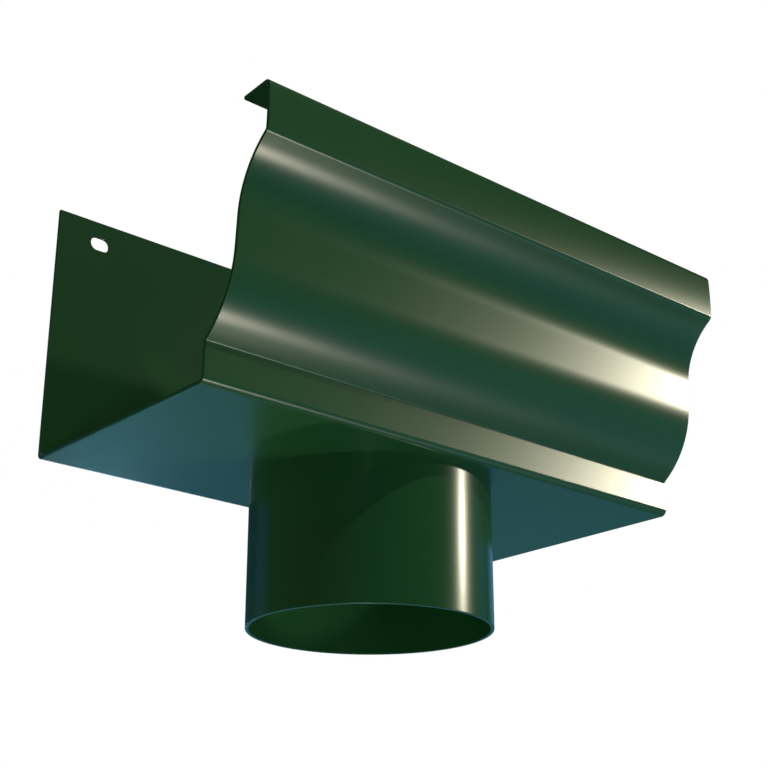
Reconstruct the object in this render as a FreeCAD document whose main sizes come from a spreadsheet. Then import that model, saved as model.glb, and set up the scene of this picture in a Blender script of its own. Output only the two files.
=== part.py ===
import FreeCAD
import Part
import math
import os
import sys
from collections import namedtuple

import Sketcher

# Running outlet for a moulded (ogee) metal gutter: a short length of gutter folded from one sheet, with a
# round spigot welded to its base for the downpipe.
#
# Frame: +Z up as fixed on the wall, X along the gutter, +Y towards the wall. The origin is on the spigot's
# axis, in the plane of its lower rim.

# Driving dimensions in millimetres, the slope of the lip in degrees. Heights of the section are above the
# underside of the base, and its widths are over the outer skin.
SIZES = {
    "body_length": 250.0,
    "metal": 1.5,
    "inner_bend": 1.35,
    "base_width": 114.8,
    "back_height": 111.4,
    "front_height": 106.1,
    "front_reach": 33.2,
    "neck_reach": 17.2,
    "belly_radius": 41.3,
    "belly_top": 49.4,
    "cove_radius": 34.8,
    "cove_foot": 55.7,
    "lip_depth": 15.75,
    "lip_fall": 4.0,
    "spigot_outside": 101.4,
    "spigot_wall": 1.5,
    "spigot_length": 60.0,
    "slot_width": 6.0,
    "slot_length": 9.0,
    "slot_from_end": 20.0,
    "slot_below_top": 10.0,
}

doc = FreeCAD.newDocument("gutter_outlet")
sheet = doc.addObject("Spreadsheet::Sheet", "sizes")
for row, (alias, value) in enumerate(SIZES.items(), start=1):
    sheet.set(f"A{row}", alias)
    sheet.set(f"B{row}", str(value))
    sheet.setAlias(f"B{row}", alias)
doc.recompute()

# A cut is this many times as deep as the wall that it goes through, and starts in the middle of that wall.
CUT_DEPTH = 3

# The ends and centre of a sketch element, and the sketch's own origin.
START, END, CENTRE = 1, 2, 3
ORIGIN = (-1, START)


def size(alias):
    """The value of one driving dimension."""
    return float(sheet.get(alias))


def point(u, v):
    return FreeCAD.Vector(u, v, 0)


def new_body(name):
    body = doc.addObject("PartDesign::Body", name)
    body.Label = name
    return body


def origin_plane(body, role):
    """One of the body's own origin planes."""
    return next(feature for feature in body.Origin.OriginFeatures if feature.Role == role)


def new_sketch(body, name, role):
    sketch = body.newObject("Sketcher::SketchObject", name)
    sketch.AttachmentSupport = (origin_plane(body, role), "")
    sketch.MapMode = "FlatFace"
    return sketch


def relate(sketch, kind, *elements):
    """Adds a constraint that has no value."""
    return sketch.addConstraint(Sketcher.Constraint(kind, *elements))


def bind(sketch, kind, *elements, to):
    """Adds a constraint that starts at the value drawn and then follows the sheet of sizes."""
    if kind == "Radius":
        drawn = sketch.Geometry[elements[0]].Radius
    elif kind == "Angle":
        line = sketch.Geometry[elements[0]]
        drawn = math.atan2(line.EndPoint.y - line.StartPoint.y, line.EndPoint.x - line.StartPoint.x)
    else:
        step = sketch.getPoint(*elements[2:]) - sketch.getPoint(*elements[:2])
        drawn = step.x if kind == "DistanceX" else step.y
    index = relate(sketch, kind, *elements, drawn)
    sketch.setExpression(f"Constraints[{index}]", to)


def must(condition, message):
    """Stops the build with a plain message when something did not come out."""
    if not condition:
        sys.exit(message)


# The folded section is followed along its outer skin, from the top of the back wall down, forward under the
# base and up the front to the edge of the lip. A run is straight or a bend. A bend that turns right has its
# centre on the gutter's inside, and one that turns left has it outside.
Run = namedtuple("Run", "start end centre radius turn", defaults=(None, None, None))
BACK, BACK_BEND, BASE, FRONT_BEND, UPSTAND, LOW_CREASE, BELLY = range(7)
NECK, COVE, HIGH_CREASE, FASCIA, TOP_BEND, LIP = range(7, 13)
OUTER_BEND = "sizes.inner_bend + sizes.metal"
OUTER_RADIUS = {
    BACK_BEND: OUTER_BEND,
    FRONT_BEND: OUTER_BEND,
    LOW_CREASE: "sizes.inner_bend",
    BELLY: "sizes.belly_radius",
    COVE: "sizes.cove_radius",
    HIGH_CREASE: OUTER_BEND,
    TOP_BEND: OUTER_BEND,
}


def outer_runs():
    """The runs of the outer skin, at their true places."""
    underside = size("spigot_length")
    back = size("base_width") / 2
    upstand = -back
    neck = upstand - size("neck_reach")
    face = upstand - size("front_reach")
    inner = size("inner_bend")
    outer = inner + size("metal")
    belly = size("belly_radius")
    cove = size("cove_radius")

    back_centre = point(back - outer, underside + outer)
    front_centre = point(upstand + outer, underside + outer)
    belly_centre = point(neck + belly, underside + size("belly_top"))
    cove_centre = point(neck - cove, underside + size("cove_foot"))
    top_centre = point(face + outer, underside + size("front_height") - outer)

    # Each crease rolls between a straight wall and a curve of the ogee.
    low_rise = math.sqrt((belly + inner) ** 2 - (belly + inner - size("neck_reach")) ** 2)
    low_centre = point(upstand - inner, belly_centre.y - low_rise)
    low_joint = low_centre + (belly_centre - low_centre) * inner / (inner + belly)
    high_rise = math.sqrt((cove + outer) ** 2 - (face + outer - cove_centre.x) ** 2)
    high_centre = point(face + outer, cove_centre.y + high_rise)
    high_joint = cove_centre + (high_centre - cove_centre) * cove / (cove + outer)

    fall = math.radians(size("lip_fall"))
    lip_root = top_centre + point(math.sin(fall), math.cos(fall)) * outer
    lip_reach = face + size("lip_depth") - lip_root.x
    lip_edge = lip_root + point(lip_reach, -lip_reach * math.tan(fall))

    back_top = point(back, underside + size("back_height"))
    back_foot = point(back, back_centre.y)
    base_back = point(back_centre.x, underside)
    base_front = point(front_centre.x, underside)
    upstand_foot = point(upstand, front_centre.y)
    upstand_top = point(upstand, low_centre.y)
    neck_foot = point(neck, belly_centre.y)
    neck_top = point(neck, cove_centre.y)
    fascia_foot = point(face, high_centre.y)
    fascia_top = point(face, top_centre.y)
    return [
        Run(back_top, back_foot),
        Run(back_foot, base_back, back_centre, outer, "right"),
        Run(base_back, base_front),
        Run(base_front, upstand_foot, front_centre, outer, "right"),
        Run(upstand_foot, upstand_top),
        Run(upstand_top, low_joint, low_centre, inner, "left"),
        Run(low_joint, neck_foot, belly_centre, belly, "right"),
        Run(neck_foot, neck_top),
        Run(neck_top, high_joint, cove_centre, cove, "left"),
        Run(high_joint, fascia_foot, high_centre, outer, "right"),
        Run(fascia_foot, fascia_top),
        Run(fascia_top, lip_root, top_centre, outer, "right"),
        Run(lip_root, lip_edge),
    ]


def inner_run(run):
    """The run of the inner skin behind a run of the outer one."""
    metal = size("metal")
    if run.centre is None:
        along = (run.end - run.start).normalize()
        inward = point(along.y, -along.x) * metal
        return Run(run.start + inward, run.end + inward)
    radius = run.radius - metal if run.turn == "right" else run.radius + metal
    start = run.centre + (run.start - run.centre) * radius / run.radius
    end = run.centre + (run.end - run.centre) * radius / run.radius
    return Run(start, end, run.centre, radius, run.turn)


def draw_run(sketch, run):
    """Draws a run and tells its element and which of that element's ends are the run's start and end."""
    if run.centre is None:
        return sketch.addGeometry(Part.LineSegment(run.start, run.end)), START, END
    low, high = (run.end, run.start) if run.turn == "right" else (run.start, run.end)
    angles = [math.atan2(spot.y - run.centre.y, spot.x - run.centre.x) for spot in (low, high)]
    circle = Part.Circle(run.centre, FreeCAD.Vector(0, 0, 1), run.radius)
    element = sketch.addGeometry(Part.ArcOfCircle(circle, *angles))
    return (element, END, START) if run.turn == "right" else (element, START, END)


def draw_skin(sketch, runs):
    """Draws a skin, smooth from end to end."""
    drawn = [draw_run(sketch, run) for run in runs]
    for (before, _, before_end), (after, after_start, _) in zip(drawn, drawn[1:]):
        relate(sketch, "Tangent", before, before_end, after, after_start)
    return [element for element, _, _ in drawn]


def draw_section(body):
    """The closed section of the folded sheet, across the gutter."""
    sketch = new_sketch(body, "section", "YZ_Plane")
    runs = outer_runs()
    behind = [inner_run(run) for run in runs]
    outer = draw_skin(sketch, runs)
    inner = draw_skin(sketch, behind)
    top_cut = sketch.addGeometry(Part.LineSegment(runs[BACK].start, behind[BACK].start))
    lip_cut = sketch.addGeometry(Part.LineSegment(runs[LIP].end, behind[LIP].end))

    for wall in (BACK, UPSTAND, FASCIA):
        relate(sketch, "Vertical", outer[wall])
        relate(sketch, "Vertical", inner[wall])
    relate(sketch, "Vertical", outer[NECK])
    relate(sketch, "Horizontal", outer[BASE])
    relate(sketch, "Horizontal", top_cut)
    relate(sketch, "Parallel", outer[LIP], inner[LIP])
    relate(sketch, "Perpendicular", outer[LIP], lip_cut)
    relate(sketch, "Coincident", top_cut, START, outer[BACK], START)
    relate(sketch, "Coincident", top_cut, END, inner[BACK], START)
    relate(sketch, "Coincident", lip_cut, START, outer[LIP], END)
    relate(sketch, "Coincident", lip_cut, END, inner[LIP], END)

    # The creases find their own centres, between the wall and the curve that each one touches.
    for index in (BACK_BEND, FRONT_BEND, BELLY, COVE, TOP_BEND):
        relate(sketch, "Coincident", inner[index], CENTRE, outer[index], CENTRE)
    for index, radius in OUTER_RADIUS.items():
        inward = "-" if runs[index].turn == "right" else "+"
        bind(sketch, "Radius", outer[index], to=radius)
        bind(sketch, "Radius", inner[index], to=f"{radius} {inward} sizes.metal")

    base = (outer[BASE], START)
    upstand = (outer[UPSTAND], START)
    bind(sketch, "DistanceX", *ORIGIN, outer[BACK], START, to="sizes.base_width / 2")
    bind(sketch, "DistanceX", *upstand, *ORIGIN, to="sizes.base_width / 2")
    bind(sketch, "DistanceX", outer[NECK], START, *upstand, to="sizes.neck_reach")
    bind(sketch, "DistanceX", outer[FASCIA], START, *upstand, to="sizes.front_reach")
    bind(sketch, "DistanceX", outer[FASCIA], START, outer[LIP], END, to="sizes.lip_depth")
    bind(sketch, "DistanceY", *ORIGIN, *base, to="sizes.spigot_length")
    bind(sketch, "DistanceY", *base, outer[BACK], START, to="sizes.back_height")
    bind(sketch, "DistanceY", *base, outer[BELLY], CENTRE, to="sizes.belly_top")
    bind(sketch, "DistanceY", *base, outer[COVE], CENTRE, to="sizes.cove_foot")
    bind(sketch, "DistanceY", *base, outer[TOP_BEND], CENTRE, to=f"sizes.front_height - ({OUTER_BEND})")
    bind(sketch, "Angle", outer[LIP], to="-sizes.lip_fall * 1 deg")
    return sketch


def finish_sketch(sketch):
    """A sketch has to solve, with nothing in it left free."""
    doc.recompute()
    status = sketch.solve()
    must(status == 0, f"{sketch.Label} does not solve: {status}")
    must(sketch.FullyConstrained, f"{sketch.Label} is not fully constrained")


def draw_circle(sketch, radius, to):
    """A circle round the sketch's origin."""
    circle = sketch.addGeometry(Part.Circle(point(0, 0), FreeCAD.Vector(0, 0, 1), radius))
    relate(sketch, "Coincident", circle, CENTRE, *ORIGIN)
    bind(sketch, "Radius", circle, to=to)


def draw_slot(sketch):
    """The fixing slot near one end of the back wall: two half-rounds joined by straight sides."""
    radius = size("slot_width") / 2
    reach = size("slot_length") / 2 - radius
    across = size("slot_from_end") - size("body_length") / 2
    height = size("spigot_length") + size("back_height") - size("slot_below_top")
    left, right = point(across - reach, height), point(across + reach, height)
    up = point(0, radius)
    facing = FreeCAD.Vector(0, 0, 1)
    left_end = Part.ArcOfCircle(Part.Circle(left, facing, radius), math.pi / 2, math.pi * 3 / 2)
    right_end = Part.ArcOfCircle(Part.Circle(right, facing, radius), -math.pi / 2, math.pi / 2)
    left_end = sketch.addGeometry(left_end)
    right_end = sketch.addGeometry(right_end)
    top_side = sketch.addGeometry(Part.LineSegment(left + up, right + up))
    low_side = sketch.addGeometry(Part.LineSegment(left - up, right - up))

    relate(sketch, "Tangent", top_side, START, left_end, START)
    relate(sketch, "Tangent", left_end, END, low_side, START)
    relate(sketch, "Tangent", low_side, END, right_end, START)
    relate(sketch, "Tangent", right_end, END, top_side, END)
    relate(sketch, "Horizontal", top_side)
    relate(sketch, "Horizontal", low_side)
    centre = "(sizes.body_length / 2 - sizes.slot_from_end)"
    reach = "(sizes.slot_length - sizes.slot_width) / 2"
    bind(sketch, "Radius", left_end, to="sizes.slot_width / 2")
    bind(sketch, "DistanceX", left_end, CENTRE, *ORIGIN, to=f"{centre} + {reach}")
    bind(sketch, "DistanceX", right_end, CENTRE, *ORIGIN, to=f"{centre} - {reach}")
    height = "sizes.spigot_length + sizes.back_height - sizes.slot_below_top"
    bind(sketch, "DistanceY", *ORIGIN, left_end, CENTRE, to=height)


def add_pad(body, name, sketch, length, both_ways=False):
    pad = body.newObject("PartDesign::Pad", name)
    pad.Profile = sketch
    pad.Midplane = both_ways
    pad.setExpression("Length", length)
    doc.recompute()


def cut_wall(body, name, sketch):
    """A hole through the wall that its sketch lies in."""
    before = body.Shape.Volume
    pocket = body.newObject("PartDesign::Pocket", name)
    pocket.Profile = sketch
    pocket.Midplane = True
    pocket.setExpression("Length", f"sizes.metal * {CUT_DEPTH}")
    doc.recompute()
    must(body.Shape.Volume < before - 1, f"{name} cuts nothing")
    return pocket


SPIGOT_BORE = "sizes.spigot_outside / 2 - sizes.spigot_wall"


def build_gutter_body():
    body = new_body("gutter_body")
    section = draw_section(body)
    finish_sketch(section)
    add_pad(body, "folded_sheet", section, "sizes.body_length", both_ways=True)

    # The hole in the base is as wide as the spigot's bore, so no step holds the water back.
    hole_plan = new_sketch(body, "hole_plan", "XY_Plane")
    hole_plan.setExpression("AttachmentOffset.Base.z", "sizes.spigot_length + sizes.metal / 2")
    draw_circle(hole_plan, size("spigot_outside") / 2 - size("spigot_wall"), SPIGOT_BORE)
    finish_sketch(hole_plan)
    cut_wall(body, "spigot_hole", hole_plan)

    # The plane across the gutter's width faces away from the wall, so the back wall is behind it.
    slot_plan = new_sketch(body, "slot_plan", "XZ_Plane")
    slot_plan.setExpression("AttachmentOffset.Base.z", "sizes.metal / 2 - sizes.base_width / 2")
    draw_slot(slot_plan)
    finish_sketch(slot_plan)
    slot = cut_wall(body, "fixing_slot", slot_plan)
    both_slots = body.newObject("PartDesign::Mirrored", "fixing_slots")
    both_slots.Originals = [slot]
    both_slots.MirrorPlane = (origin_plane(body, "YZ_Plane"), [""])
    before = body.Shape.Volume
    body.Tip = both_slots
    doc.recompute()
    must(body.Shape.Volume < before - 1, "the second fixing slot is missing")
    return body


def build_outlet_spigot():
    """The tube reaches from its lower rim to the underside of the base, where it is welded all round."""
    body = new_body("outlet_spigot")
    ring = new_sketch(body, "ring", "XY_Plane")
    radius = size("spigot_outside") / 2
    draw_circle(ring, radius, "sizes.spigot_outside / 2")
    draw_circle(ring, radius - size("spigot_wall"), SPIGOT_BORE)
    finish_sketch(ring)
    add_pad(body, "tube", ring, "sizes.spigot_length")
    return body


bodies = [build_gutter_body(), build_outlet_spigot()]
for feature in doc.Objects:
    failed = {"Invalid", "Error"} & set(feature.State)
    must(not failed, f"{feature.Label} failed")
for body in bodies:
    shape = body.Shape
    must(not shape.isNull() and shape.isValid(), f"{body.Label} is not a sound shape")
    must(len(shape.Solids) == 1, f"{body.Label} is not one solid")
os.makedirs("parts", exist_ok=True)
for body in bodies:
    body.Shape.exportStep(f"parts/{body.Label}.step")
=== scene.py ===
"""Gutter outlet: the looks, in Blender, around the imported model."""

import math

import bpy
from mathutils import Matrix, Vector


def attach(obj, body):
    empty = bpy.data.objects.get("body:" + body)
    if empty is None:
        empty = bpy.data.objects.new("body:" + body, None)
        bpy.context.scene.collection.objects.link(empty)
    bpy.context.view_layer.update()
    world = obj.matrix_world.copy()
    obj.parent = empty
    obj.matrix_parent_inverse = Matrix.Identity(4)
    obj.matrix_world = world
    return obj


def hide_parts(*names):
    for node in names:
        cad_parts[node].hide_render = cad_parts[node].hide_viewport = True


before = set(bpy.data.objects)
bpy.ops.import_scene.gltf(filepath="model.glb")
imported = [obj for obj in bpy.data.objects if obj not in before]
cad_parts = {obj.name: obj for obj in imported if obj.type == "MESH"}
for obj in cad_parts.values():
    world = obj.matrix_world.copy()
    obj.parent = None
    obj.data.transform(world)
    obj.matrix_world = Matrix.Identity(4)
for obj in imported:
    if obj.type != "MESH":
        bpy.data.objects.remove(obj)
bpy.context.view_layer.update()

# Sizes of the sheet and the spigot, in metres, as in the part's source. Heights of the section are above the
# underside of the base, and its widths are over the outer skin.
MM = 0.001
BODY_LENGTH = 250 * MM
METAL = 1.5 * MM
INNER_BEND = 1.35 * MM
OUTER_BEND = INNER_BEND + METAL
BASE_WIDTH = 114.8 * MM
BACK_HEIGHT = 111.4 * MM
FRONT_HEIGHT = 106.1 * MM
FRONT_REACH = 33.2 * MM
NECK_REACH = 17.2 * MM
BELLY_RADIUS = 41.3 * MM
BELLY_TOP = 49.4 * MM
COVE_RADIUS = 34.8 * MM
COVE_FOOT = 55.7 * MM
LIP_DEPTH = 15.75 * MM
LIP_FALL = math.radians(4)
SPIGOT_OUTSIDE = 101.4 * MM
SPIGOT_WALL = 1.5 * MM
SPIGOT_LENGTH = 60 * MM
SLOT_WIDTH = 6 * MM
SLOT_LENGTH = 9 * MM
SLOT_FROM_END = 20 * MM
SLOT_BELOW_TOP = 10 * MM

# After folding the sheet springs back a little: the curves open, the upstand, the neck and the fascia lean out, the
# fascia is slightly full, and the low crease sits lower. No drawing gives these.
CURVE_EASE = 1.0 * MM
BELLY_FOLDED = BELLY_RADIUS + CURVE_EASE
COVE_FOLDED = COVE_RADIUS + CURVE_EASE
LOW_CREASE_DROP = 0.5 * MM
UPSTAND_LEAN = math.radians(1)
NECK_LEAN = math.radians(3.9)
FASCIA_LEAN = math.radians(0.6)
FASCIA_CROWN = math.radians(3)
CROWN_STEPS = 8

# The cut edges are rubbed down before the coat goes on.
CUT_EDGE = 0.2 * MM
RIM_EDGE = 0.25 * MM
EDGE_STEPS = 2
SQUARE_EDGE = math.radians(60)
SMOOTH_BELOW = math.radians(35)

# How finely the mesh follows the folds, the spigot and the slots, and how deep a cutting tool is.
FOLD_STEP = math.radians(4)
WALL_STEPS = 160
SLOT_STEPS = 48
TOOL_DEPTH = 6 * METAL
# Rounds in which the creases' turn settles, and the distance within which two places are one.
SETTLE_ROUNDS = 6
TOUCH = 1e-6

# The powder coat: its two tones, its range of roughness, and its patterns' real sizes. Grains of pigment are far too
# fine to show, so they are drawn coarser, at 0.8 mm.
COAT_TONES = ("#1f4428", "#214627")
COAT_ROUGHNESS = (0.225, 0.24)
DRIFT_WIDTH = 60 * MM
GRAIN_WIDTH = 0.8 * MM
GRAIN_TONE = (0.97, 1.03)
PEEL_WIDTH = 2.5 * MM
PEEL_HEIGHT = 0.0006 * MM
# A noise's values lie mostly between these two.
NOISE_SPAN = (0.3, 0.7)

# The photograph's camera: where it stands, in metres, and where it looks.
CAMERA_PLACE = (-0.39385, -0.45785, -0.12596)
CAMERA_AZIMUTH = -41.255
CAMERA_ELEVATION = -21.158
CAMERA_SENSOR = 36.0
CAMERA_LENS = 70.12
CAMERA_NEAR = 10 * MM

# The studio's lamps, far off: name, azimuth, elevation, spread in degrees, and the light that each gives in red,
# green and blue.
LAMPS = (
    ("warm_key_right_end", 126.0, 15.6, 2.0, (0.25, 0.228, 0.176)),
    ("cream_lamp_low_front", 144.5, -42.3, 1.5, (0.158, 0.142, 0.118)),
    ("cream_screen_low_front", 144.5, -43.6, 12.5, (0.175, 0.157, 0.126)),
    ("cream_lamp_lower_front", 135, -60, 6.0, (0.048, 0.052, 0.03)),
    ("cream_lamp_low_right", 128, -52, 5.0, (0.016, 0.0135, 0.010)),
    ("top_lamp_front", 160, 50.6, 2.0, (0.36, 0.39, 0.33)),
    ("low_lamp_wall_side", 38.3, -58.8, 2.0, (0.20, 0.20, 0.13)),
    ("low_lamp_left", -138, -31.6, 2.0, (0.08, 0.09, 0.06)),
    ("blue_panel_wall_side", -20, 15, 22.0, (0.001, 0.002, 0.008)),
    ("teal_panel_right_end", 124.5, -17, 40.0, (0.006, 0.018, 0.026)),
    ("blue_panel_right_wall_side", 65, 21, 24.0, (0.005, 0.014, 0.025)),
    ("teal_panel_right", 94, 21, 20.0, (0.0005, 0.005, 0.0105)),
    ("pale_panel_low_wall_side", 22, -12, 4.0, (0.015, 0.013, 0.015)),
    ("blue_strip_low_wall_side", 30, -5, 3.0, (0.006, 0.014, 0.023)),
)
# One lamp more lights the back without showing in the gloss: name, azimuth, elevation, spread, and light.
BACK_LAMP = ("soft_lamp_behind", 40, 8, 10.0, (0.45, 0.44, 0.43))
# The dim coloured surround of the studio: the way that each glow lies, and its red, green and blue.
GLOWS = (
    ((-1, -1, -1), (0.12, 0.49, 0.35)),
    ((-1, 1, -1), (0.26, 0.60, 0.25)),
    ((1, -1, -1), (0.03, 0.17, 0.33)),
    ((1, 1, -1), (0.044, 0.14, 0.27)),
    ((0.2, 1, -0.6), (0.033, 0.13, 0.208)),
    ((-1, 0, 0), (0.07, 0.045, 0.03)),
    ((0, 0, 1), (0.19, 0.31, 0.18)),
)
GLOW_FOCUS = 4

# The floor: a pale round sheet on which the spigot's rim stands, seen from above only.
FLOOR_RADIUS = 1.6
FLOOR_STEPS = 96
FLOOR_FADE = (0.3, 0.9)
FLOOR_GREY = 0.8
FLOOR_GLOW = 0.70


def linear(hex_colour):
    """Turns an sRGB hex colour into Blender's linear one."""
    parts = [int(hex_colour[i:i + 2], 16) / 255 for i in (1, 3, 5)]
    return tuple(c / 12.92 if c <= 0.04045 else ((c + 0.055) / 1.055) ** 2.4 for c in parts) + (1,)


def toward(azimuth, elevation):
    """The unit vector that points at a lamp: azimuth 0 is the wall side, 90 the right end."""
    a, e = math.radians(azimuth), math.radians(elevation)
    return Vector((math.sin(a) * math.cos(e), math.cos(a) * math.cos(e), math.sin(e)))


def make_camera():
    """The photograph's camera, which looks up from below, in front of the left end."""
    camera = bpy.data.objects.new("photo_camera", bpy.data.cameras.new("photo_camera"))
    bpy.context.collection.objects.link(camera)
    camera.data.sensor_width = CAMERA_SENSOR
    camera.data.lens = CAMERA_LENS
    camera.data.clip_start = CAMERA_NEAR
    camera.location = CAMERA_PLACE
    camera.rotation_euler = (math.radians(90 - CAMERA_ELEVATION), 0, math.radians(CAMERA_AZIMUTH))
    bpy.context.scene.camera = camera


def add(tree, kind, settings=None, links=None):
    """Adds a node. Settings and links name sockets by name or number, or the node's own settings by name."""
    node = tree.nodes.new(kind)
    for key, value in (settings or {}).items():
        if isinstance(key, str) and hasattr(node, key):
            setattr(node, key, value)
        else:
            node.inputs[key].default_value = value
    for key, source in (links or {}).items():
        tree.links.new(source, node.inputs[key])
    return node


def make_coat():
    """Dark green polyester powder coat, gloss.

    It is sprayed dry on the made-up part and baked, so it runs over the edges and the weld alike. It gives the eye
    a deep even green with tight bright lamps in it, a faint orange peel, and a tone and a gloss that drift a little
    with the thickness of the coat.
    """
    coat = bpy.data.materials.new("gloss_green_powder_coat")
    coat.use_nodes = True
    tree = coat.node_tree
    shader = tree.nodes["Principled BSDF"]
    shader.inputs["IOR"].default_value = 1.5
    place = add(tree, "ShaderNodeTexCoord").outputs["Object"]
    # The coat's thickness drifts, and its tone and gloss with it.
    drift = add(tree, "ShaderNodeTexNoise", {"Scale": 1 / DRIFT_WIDTH, "Detail": 2.0, "Roughness": 0.5},
                {"Vector": place})
    tone = add(tree, "ShaderNodeMix", {"data_type": "RGBA", 6: linear(COAT_TONES[0]), 7: linear(COAT_TONES[1])},
               {"Factor": drift.outputs["Fac"]})
    grain = add(tree, "ShaderNodeTexNoise", {"Scale": 1 / GRAIN_WIDTH, "Detail": 1.0}, {"Vector": place})
    # The grains spread over their tones, and the drift over the range of roughness.
    speck, gloss = (
        add(tree, "ShaderNodeMapRange", {"From Min": NOISE_SPAN[0], "From Max": NOISE_SPAN[1],
                                         "To Min": ends[0], "To Max": ends[1]}, {"Value": noise.outputs["Fac"]})
        for noise, ends in ((grain, GRAIN_TONE), (drift, COAT_ROUGHNESS)))
    colour = add(tree, "ShaderNodeVectorMath", {"operation": "SCALE"},
                 {0: tone.outputs[2], "Scale": speck.outputs["Result"]})
    tree.links.new(colour.outputs["Vector"], shader.inputs["Base Color"])
    tree.links.new(gloss.outputs["Result"], shader.inputs["Roughness"])
    # Orange peel: shallow waves, less than a thousandth of a millimetre high.
    waves = add(tree, "ShaderNodeTexNoise", {"Scale": 1 / PEEL_WIDTH, "Detail": 1.0}, {"Vector": place})
    peel = add(tree, "ShaderNodeBump", {"Strength": 1.0, "Distance": PEEL_HEIGHT}, {"Height": waves.outputs["Fac"]})
    tree.links.new(peel.outputs["Normal"], shader.inputs["Normal"])
    return coat


def make_lamps():
    """Suns, far off on all sides. All but the lamp behind show in the gloss, as discs of their spread."""
    for name, azimuth, elevation, spread, light in LAMPS + (BACK_LAMP,):
        lamp = bpy.data.objects.new(name, bpy.data.lights.new(name, "SUN"))
        bpy.context.collection.objects.link(lamp)
        strength = max(light)
        lamp.data.color = [part / strength for part in light]
        lamp.data.energy = math.pi * strength
        lamp.data.angle = math.radians(spread)
        lamp.rotation_euler = toward(azimuth, elevation).to_track_quat("Z", "Y").to_euler()
        lamp.visible_glossy = name != BACK_LAMP[0]


def make_surround():
    """White for the camera, and the dim coloured studio for the light that falls on the object."""
    world = bpy.data.worlds.new("studio")
    bpy.context.scene.world = world
    world.use_nodes = True
    world.cycles.sampling_method = "NONE"
    tree = world.node_tree
    back = tree.nodes["Background"]
    way = add(tree, "ShaderNodeTexCoord").outputs["Generated"]
    total = None
    for axis, light in GLOWS:
        facing = add(tree, "ShaderNodeVectorMath", {"operation": "DOT_PRODUCT", 1: Vector(axis).normalized()}, {0: way})
        near = add(tree, "ShaderNodeMath", {"operation": "MAXIMUM", 1: 0.0}, {0: facing.outputs["Value"]})
        focus = add(tree, "ShaderNodeMath", {"operation": "POWER", 1: GLOW_FOCUS}, {0: near.outputs[0]})
        glow = add(tree, "ShaderNodeVectorMath", {"operation": "SCALE", 0: light}, {"Scale": focus.outputs[0]})
        if total is None:
            total = glow
        else:
            total = add(tree, "ShaderNodeVectorMath", {"operation": "ADD"}, {0: total.outputs[0], 1: glow.outputs[0]})
    path = add(tree, "ShaderNodeLightPath")
    seen = add(tree, "ShaderNodeMath", {"operation": "MAXIMUM"},
               {0: path.outputs["Is Camera Ray"], 1: path.outputs["Is Transmission Ray"]})
    shown = add(tree, "ShaderNodeMix", {"data_type": "RGBA", 7: (1, 1, 1, 1)},
                {"Factor": seen.outputs[0], 6: total.outputs[0]})
    tree.links.new(shown.outputs[2], back.inputs["Color"])


def make_floor():
    """A pale floor that takes the object's shadow, fades to white, and lights and mirrors nothing."""
    deselect()
    bpy.ops.mesh.primitive_circle_add(vertices=FLOOR_STEPS, radius=FLOOR_RADIUS, fill_type="NGON",
                                      location=(0, 0, 0))
    floor = bpy.context.object
    floor.name = floor.data.name = "studio_floor"
    paint = bpy.data.materials.new("pale_studio_floor")
    paint.use_nodes = True
    tree = paint.node_tree
    tree.nodes.remove(tree.nodes["Principled BSDF"])
    out = tree.nodes["Material Output"]
    place = add(tree, "ShaderNodeTexCoord").outputs["Object"]
    far = add(tree, "ShaderNodeVectorMath", {"operation": "LENGTH"}, {0: place})
    clear = add(tree, "ShaderNodeMapRange", {"interpolation_type": "SMOOTHSTEP", "From Min": FLOOR_FADE[0],
                                             "From Max": FLOOR_FADE[1]}, {"Value": far.outputs["Value"]})
    below = add(tree, "ShaderNodeNewGeometry").outputs["Backfacing"]
    gone = add(tree, "ShaderNodeMath", {"operation": "MAXIMUM"}, {0: clear.outputs["Result"], 1: below})
    dull = add(tree, "ShaderNodeBsdfDiffuse", {"Color": (FLOOR_GREY, FLOOR_GREY, FLOOR_GREY, 1)})
    glow = add(tree, "ShaderNodeEmission", {"Color": (1, 1, 1, 1), "Strength": FLOOR_GLOW})
    sheet = add(tree, "ShaderNodeAddShader", None, {0: dull.outputs[0], 1: glow.outputs[0]})
    nothing = add(tree, "ShaderNodeBsdfTransparent")
    both = add(tree, "ShaderNodeMixShader", None, {0: gone.outputs[0], 1: sheet.outputs[0], 2: nothing.outputs[0]})
    tree.links.new(both.outputs[0], out.inputs["Surface"])
    floor.data.materials.append(paint)
    floor.visible_shadow = False
    floor.visible_diffuse = False
    floor.visible_glossy = False
    floor.visible_transmission = False


# Modelling helpers


def deselect():
    bpy.ops.object.select_all(action="DESELECT")


def only(piece):
    deselect()
    piece.select_set(True)
    bpy.context.view_layer.objects.active = piece


def start_piece(name):
    """Names the primitive that was just added, applies its place, and leaves nothing of it selected."""
    piece = bpy.context.object
    piece.name = piece.data.name = name
    bpy.ops.object.transform_apply(location=True, rotation=True, scale=True)
    bpy.ops.object.mode_set(mode="EDIT")
    bpy.ops.mesh.select_mode(type="VERT")
    bpy.ops.mesh.select_all(action="DESELECT")
    bpy.ops.object.mode_set(mode="OBJECT")
    return piece


def pick(piece, wanted):
    """Selects the corners that pass a test, and nothing else, and opens the piece for modelling."""
    bpy.ops.object.mode_set(mode="OBJECT")
    for polygon in piece.data.polygons:
        polygon.select = False
    for edge in piece.data.edges:
        edge.select = False
    for corner in piece.data.vertices:
        corner.select = wanted(corner.co)
    bpy.ops.object.mode_set(mode="EDIT")
    bpy.ops.mesh.select_mode(type="VERT")


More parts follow.
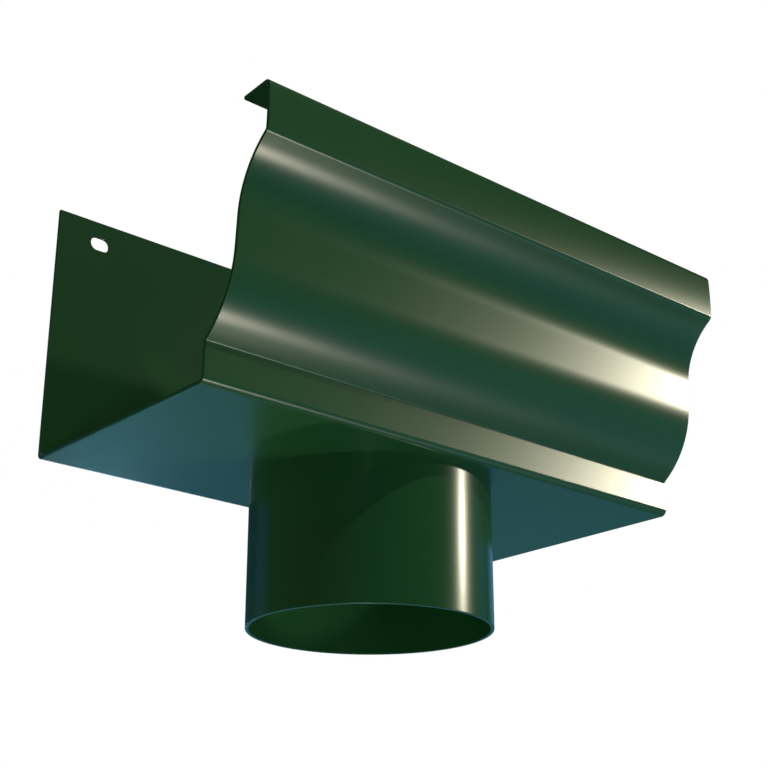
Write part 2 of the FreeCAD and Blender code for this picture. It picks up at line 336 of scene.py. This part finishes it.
class Brake:
    """Folds a sheet along the gutter, fold by fold, as a press brake does.

    The free edge runs along X. Its place is a point of the section, across and up, and its heading is the way that
    the section goes on from there, as an angle from across.
    """

    def __init__(self, piece, place, heading):
        self.piece = piece
        self.place = Vector(place)
        self.heading = heading

    def way(self):
        return Vector((math.cos(self.heading), math.sin(self.heading)))

    def hold(self):
        """Takes hold of the free edge."""
        pick(self.piece, lambda co: abs(co.y - self.place.x) < TOUCH and abs(co.z - self.place.y) < TOUCH)

    def run(self, length):
        """A flat of this length."""
        step = self.way() * length
        self.hold()
        bpy.ops.mesh.extrude_region_move(TRANSFORM_OT_translate={"value": (0, step.x, step.y)})
        self.place += step

    def fold(self, angle, radius, steps=0):
        """A bend of the outer skin: to the left where the angle is above zero, to the right where it is below."""
        side = Vector((-self.way().y, self.way().x)) * math.copysign(radius, angle)
        centre = self.place + side
        steps = steps or max(2, math.ceil(abs(angle) / FOLD_STEP))
        self.hold()
        bpy.ops.mesh.spin(steps=steps, angle=-angle, center=(0, centre.x, centre.y), axis=(1, 0, 0))
        turned = Vector((side.x * math.cos(angle) - side.y * math.sin(angle),
                         side.x * math.sin(angle) + side.y * math.cos(angle)))
        self.place = centre - turned
        self.heading += angle


def finish_piece(piece, edge, only_rim=None):
    """Rubs down the cut edges, or only the edges that pass a test, and smooths the rest."""
    bpy.ops.object.mode_set(mode="OBJECT")
    bevel = piece.modifiers.new("rubbed_edges", "BEVEL")
    bevel.width = edge
    bevel.segments = EDGE_STEPS
    bevel.limit_method = "ANGLE"
    bevel.angle_limit = SQUARE_EDGE
    bevel.use_clamp_overlap = False
    if only_rim:
        weights = piece.data.attributes.new("bevel_weight_edge", "FLOAT", "EDGE")
        for side in piece.data.edges:
            ends = [piece.data.vertices[corner].co for corner in side.vertices]
            weights.data[side.index].value = 1.0 if only_rim(*ends) else 0.0
        bevel.limit_method = "WEIGHT"
    bpy.ops.object.modifier_apply(modifier=bevel.name)
    bpy.ops.object.shade_smooth_by_angle(angle=SMOOTH_BELOW)
    normals = piece.modifiers.new("even_flats", "WEIGHTED_NORMAL")
    normals.keep_sharp = True
    bpy.ops.object.modifier_apply(modifier=normals.name)


def cut(piece, tool):
    """Takes a tool's shape out of a piece."""
    only(piece)
    hole = piece.modifiers.new("cut", "BOOLEAN")
    hole.operation = "DIFFERENCE"
    hole.solver = "EXACT"
    hole.object = tool
    bpy.ops.object.modifier_apply(modifier=hole.name)
    bpy.data.objects.remove(tool)


def slot_tool(x, y, z):
    """A round bar through the back wall, pulled out lengthwise to the slot's shape."""
    bpy.ops.mesh.primitive_cylinder_add(vertices=SLOT_STEPS, radius=SLOT_WIDTH / 2, depth=TOOL_DEPTH,
                                        location=(x, y, z), rotation=(math.pi / 2, 0, 0))
    tool = start_piece("slot_tool")
    for side in (-1, 1):
        pick(tool, lambda co: (co.x - x) * side > TOUCH)
        bpy.ops.transform.translate(value=(side * (SLOT_LENGTH - SLOT_WIDTH) / 2, 0, 0))
    bpy.ops.object.mode_set(mode="OBJECT")
    return tool


def ogee_shape():
    """The turns of the two creases, and the flats of upstand, neck and fascia.

    The front keeps its reach and height: the creases turn a little less where the leans and the open curves would
    carry it past its place, and the neck takes up what that leaves between them.
    """
    low = math.acos(1 - NECK_REACH / (BELLY_RADIUS + INNER_BEND))
    high = math.acos(1 - (FRONT_REACH - NECK_REACH) / (COVE_RADIUS + OUTER_BEND))
    low_crease = BELLY_TOP - (BELLY_RADIUS + INNER_BEND) * math.sin(low) - LOW_CREASE_DROP
    high_crease = COVE_FOOT + (COVE_RADIUS + OUTER_BEND) * math.sin(high)
    foot, top = FASCIA_LEAN + FASCIA_CROWN, FASCIA_LEAN - FASCIA_CROWN
    upstand = (low_crease - OUTER_BEND + (OUTER_BEND + INNER_BEND) * math.sin(UPSTAND_LEAN)) / math.cos(UPSTAND_LEAN)
    fascia = (FRONT_HEIGHT - OUTER_BEND * (1 + math.sin(top) - math.sin(foot)) - high_crease) / math.cos(FASCIA_LEAN)
    full = fascia / (2 * math.sin(FASCIA_CROWN)) * (1 - math.cos(foot))
    low_side = BELLY_FOLDED + INNER_BEND
    high_side = COVE_FOLDED + OUTER_BEND
    along = low_side * math.cos(low) + high_side * math.cos(high)
    aside = low_side * math.sin(low) + high_side * math.sin(high)
    less = 0
    for _ in range(SETTLE_ROUNDS):
        rise = (high_crease - high_side * math.sin(high - less)) - (low_crease + low_side * math.sin(low - less))
        neck = (rise + (BELLY_FOLDED + COVE_FOLDED) * math.sin(NECK_LEAN)) / math.cos(NECK_LEAN)
        left = (upstand * math.sin(UPSTAND_LEAN) - OUTER_BEND * (1 - math.cos(UPSTAND_LEAN))
                + INNER_BEND * math.cos(UPSTAND_LEAN) + (BELLY_FOLDED + COVE_FOLDED) * math.cos(NECK_LEAN)
                + neck * math.sin(NECK_LEAN) + OUTER_BEND * math.cos(foot) + full - FRONT_REACH)
        less = math.atan2(aside, along) - math.acos(left / math.hypot(along, aside))
    return low - less, high - less, neck, upstand, fascia


def fold_body():
    """The outer skin: a plane for the back wall, folded on forward under the base and up the front."""
    underside = SPIGOT_LENGTH
    back = BASE_WIDTH / 2
    flat = BACK_HEIGHT - OUTER_BEND
    top = underside + BACK_HEIGHT
    deselect()
    bpy.ops.mesh.primitive_plane_add(size=1, location=(0, back, top - flat / 2), rotation=(-math.pi / 2, 0, 0))
    bpy.context.object.scale = (BODY_LENGTH, flat, 1)
    body = start_piece("folded_body")
    brake = Brake(body, (back, underside + OUTER_BEND), -math.pi / 2)
    low, high, neck, upstand, fascia = ogee_shape()
    brake.fold(-math.pi / 2, OUTER_BEND)
    brake.run(BASE_WIDTH - 2 * OUTER_BEND)
    brake.fold(UPSTAND_LEAN - math.pi / 2, OUTER_BEND)
    brake.run(upstand)
    brake.fold(low - UPSTAND_LEAN, INNER_BEND)
    brake.fold(NECK_LEAN - low, BELLY_FOLDED)
    brake.run(neck)
    brake.fold(high - NECK_LEAN, COVE_FOLDED)
    brake.fold(FASCIA_LEAN + FASCIA_CROWN - high, OUTER_BEND)
    brake.fold(-2 * FASCIA_CROWN, fascia / (2 * math.sin(FASCIA_CROWN)), CROWN_STEPS)
    brake.fold(FASCIA_CROWN - FASCIA_LEAN - math.pi / 2 - LIP_FALL, OUTER_BEND)
    brake.run((LIP_DEPTH - (brake.place.x + back + FRONT_REACH)) / math.cos(LIP_FALL))
    bpy.ops.object.mode_set(mode="OBJECT")
    return body


def make_body():
    """The folded sheet with its metal, its two slots and its round hole."""
    body = fold_body()
    pick(body, lambda co: True)
    bpy.ops.mesh.remove_doubles(threshold=TOUCH)
    bpy.ops.mesh.normals_make_consistent(inside=False)
    bpy.ops.object.mode_set(mode="OBJECT")
    # An open skin may come out facing either way. The metal goes on its inside, so the base has to face down.
    lowest = min(body.data.polygons, key=lambda face: face.center.z)
    if lowest.normal.z > 0:
        pick(body, lambda co: True)
        bpy.ops.mesh.flip_normals()
        bpy.ops.object.mode_set(mode="OBJECT")
    sheet = body.modifiers.new("metal", "SOLIDIFY")
    sheet.thickness = METAL
    sheet.offset = -1
    sheet.use_even_offset = True
    bpy.ops.object.modifier_apply(modifier=sheet.name)
    height = SPIGOT_LENGTH + BACK_HEIGHT - SLOT_BELOW_TOP
    place = BODY_LENGTH / 2 - SLOT_FROM_END
    for x in (-place, place):
        cut(body, slot_tool(x, (BASE_WIDTH - METAL) / 2, height))
    bpy.ops.mesh.primitive_cylinder_add(vertices=WALL_STEPS, radius=SPIGOT_OUTSIDE / 2 - SPIGOT_WALL,
                                        depth=TOOL_DEPTH, location=(0, 0, SPIGOT_LENGTH + METAL / 2))
    cut(body, start_piece("bore_tool"))
    finish_piece(body, CUT_EDGE)
    return body


def make_spigot():
    """A tube that stands up to the underside of the base."""
    deselect()
    bpy.ops.mesh.primitive_circle_add(vertices=WALL_STEPS, radius=SPIGOT_OUTSIDE / 2, location=(0, 0, 0))
    spigot = start_piece("round_spigot")
    pick(spigot, lambda co: True)
    bpy.ops.mesh.extrude_region_move(TRANSFORM_OT_translate={"value": (0, 0, SPIGOT_LENGTH)})
    bpy.ops.mesh.select_all(action="SELECT")
    bpy.ops.mesh.normals_make_consistent(inside=False)
    bpy.ops.object.mode_set(mode="OBJECT")
    wall = spigot.modifiers.new("wall", "SOLIDIFY")
    wall.thickness = SPIGOT_WALL
    wall.offset = -1
    wall.use_even_offset = True
    bpy.ops.object.modifier_apply(modifier=wall.name)
    # Only the free rim is rubbed down: the other end is welded to the sheet.
    finish_piece(spigot, RIM_EDGE, lambda a, b: max(a.z, b.z) < TOUCH and abs(a.xy.length - b.xy.length) < TOUCH)
    return spigot


make_camera()
coat = make_coat()
body = make_body()
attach(body, "root")
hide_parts("gutter_body")
spigot = make_spigot()
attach(spigot, "root")
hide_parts("outlet_spigot")
for piece in (body, spigot):
    piece.data.materials.clear()
    piece.data.materials.append(coat)

bpy.context.scene.view_settings.view_transform = "Standard"
make_lamps()
make_surround()
make_floor()
